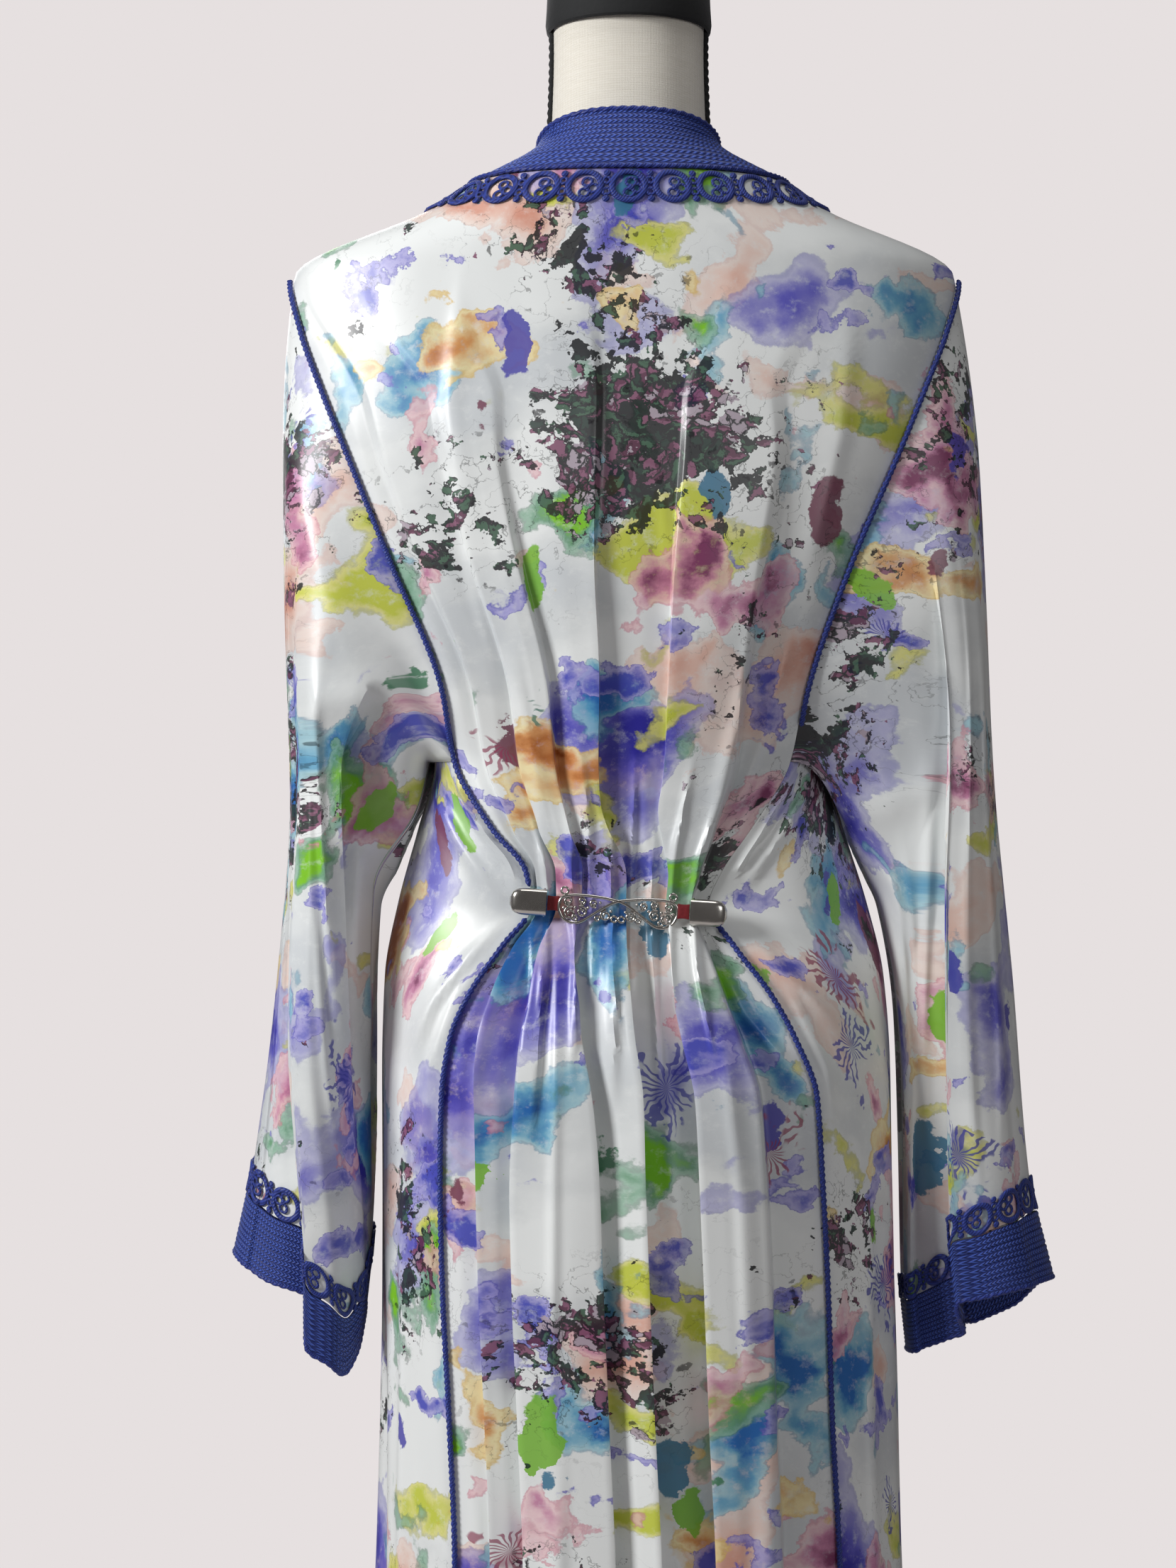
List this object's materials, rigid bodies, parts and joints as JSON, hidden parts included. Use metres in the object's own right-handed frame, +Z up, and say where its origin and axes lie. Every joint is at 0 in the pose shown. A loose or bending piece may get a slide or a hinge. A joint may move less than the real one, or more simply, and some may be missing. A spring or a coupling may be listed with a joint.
{
  "type": "moroccan kaftan on a limbless dress form with its stand",
  "caption": "Full-length moroccan kaftan of printed satin with blue braid trims, clasped at the back of the waist, on a linen dress form.",
  "frame": {"origin": "on the floor under the middle of the stand's round base, on the axis of the dress form", "axes": "+Z up the dress form; +Y towards the back of the garment, the side with the clasp; +X to the wearer's left"},
  "size_m": [0.604, 0.3403, 1.7018],
  "materials": {
    "kaftan_satin": "satin, printed with watercolour flowers",
    "blue_braid": "silk braid with a low sheen",
    "form_linen": "plain linen",
    "cap_black": "matt black",
    "stand_steel": "dark satin",
    "clasp_nickel": "polished",
    "tab_red": "smooth"
  },
  "bodies": {
    "root": {"back_panel": "kaftan_satin", "front_panel_left": "kaftan_satin", "front_panel_right": "kaftan_satin", "gore_left": "kaftan_satin", "gore_right": "kaftan_satin", "sleeve_left": "kaftan_satin", "sleeve_right": "kaftan_satin", "collar_band": "blue_braid", "front_band_left": "blue_braid", "front_band_right": "blue_braid", "neck_scroll_trim": "blue_braid", "cuff_left": "blue_braid", "cuff_right": "blue_braid", "cuff_scroll_left": "blue_braid", "cuff_scroll_right": "blue_braid", "piping_left_upper": "blue_braid", "piping_left_lower": "blue_braid", "piping_right_upper": "blue_braid", "piping_right_lower": "blue_braid", "clasp_jaw_left": "clasp_nickel", "clasp_jaw_right": "clasp_nickel", "clasp_filigree": "clasp_nickel", "clasp_tab_left": "tab_red", "clasp_tab_right": "tab_red", "form_torso": "form_linen", "form_neck_cap": "cap_black", "stand_pole": "stand_steel", "stand_base": "stand_steel"}
  },
  "joints": []
}
